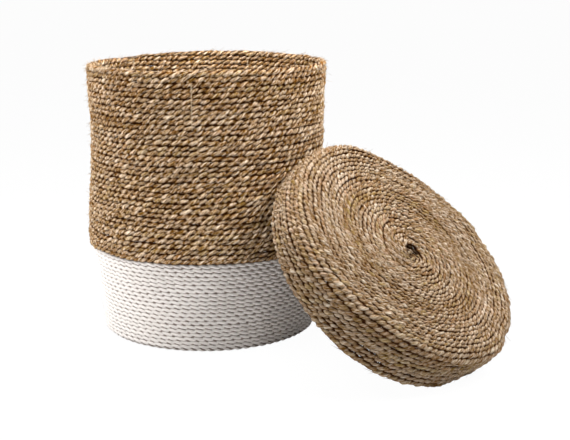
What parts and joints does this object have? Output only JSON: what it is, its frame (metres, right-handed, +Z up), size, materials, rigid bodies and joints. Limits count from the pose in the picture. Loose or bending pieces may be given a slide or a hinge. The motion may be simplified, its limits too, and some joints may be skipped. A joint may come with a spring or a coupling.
{
  "type": "lidded rope basket",
  "caption": "Round coiled rope basket, white below and natural above, with a drum lid taken off and leaning on its wall; holds laundry, toys or blankets.",
  "frame": {"origin": "middle of the basket's base, on the floor", "axes": "+Z up along the basket's axis; +X from the basket towards the leaning lid"},
  "size_m": [0.7465, 0.4184, 0.452],
  "materials": {
    "natural_rope": "dry twisted seagrass rope, matt, tan to brown",
    "lid_rope": "dry twisted seagrass rope, matt, tan to brown",
    "white_rope": "white painted twisted rope, matt",
    "twine": "pale sewing twine, matt"
  },
  "bodies": {
    "basket": {"base_coil": "white_rope", "white_wall_coil": "white_rope", "natural_wall_coil": "natural_rope", "base_stitch_01": "twine", "base_stitch_02": "twine", "base_stitch_03": "twine", "base_stitch_04": "twine", "base_stitch_05": "twine", "base_stitch_06": "twine", "base_stitch_07": "twine", "base_stitch_08": "twine", "base_stitch_09": "twine", "base_stitch_10": "twine", "base_stitch_11": "twine", "wall_stitch_01": "twine", "wall_stitch_02": "twine", "wall_stitch_03": "twine", "wall_stitch_04": "twine", "wall_stitch_05": "twine", "wall_stitch_06": "twine", "wall_stitch_07": "twine", "wall_stitch_08": "twine", "wall_stitch_09": "twine", "wall_stitch_10": "twine", "wall_stitch_11": "twine"},
    "lid": {"lid_top_coil": "lid_rope", "lid_skirt_coil": "lid_rope", "lid_stitch_01": "twine", "lid_stitch_02": "twine", "lid_stitch_03": "twine", "lid_stitch_04": "twine", "lid_stitch_05": "twine", "lid_stitch_06": "twine", "lid_stitch_07": "twine", "lid_stitch_08": "twine", "lid_stitch_09": "twine", "lid_stitch_10": "twine", "lid_stitch_11": "twine"}
  },
  "joints": [
    {"name": "lid_lift", "type": "slide", "parent": "basket", "child": "lid", "axis": [0.6794, 0, 0.7337], "range_m": [0, 0.3]}
  ]
}
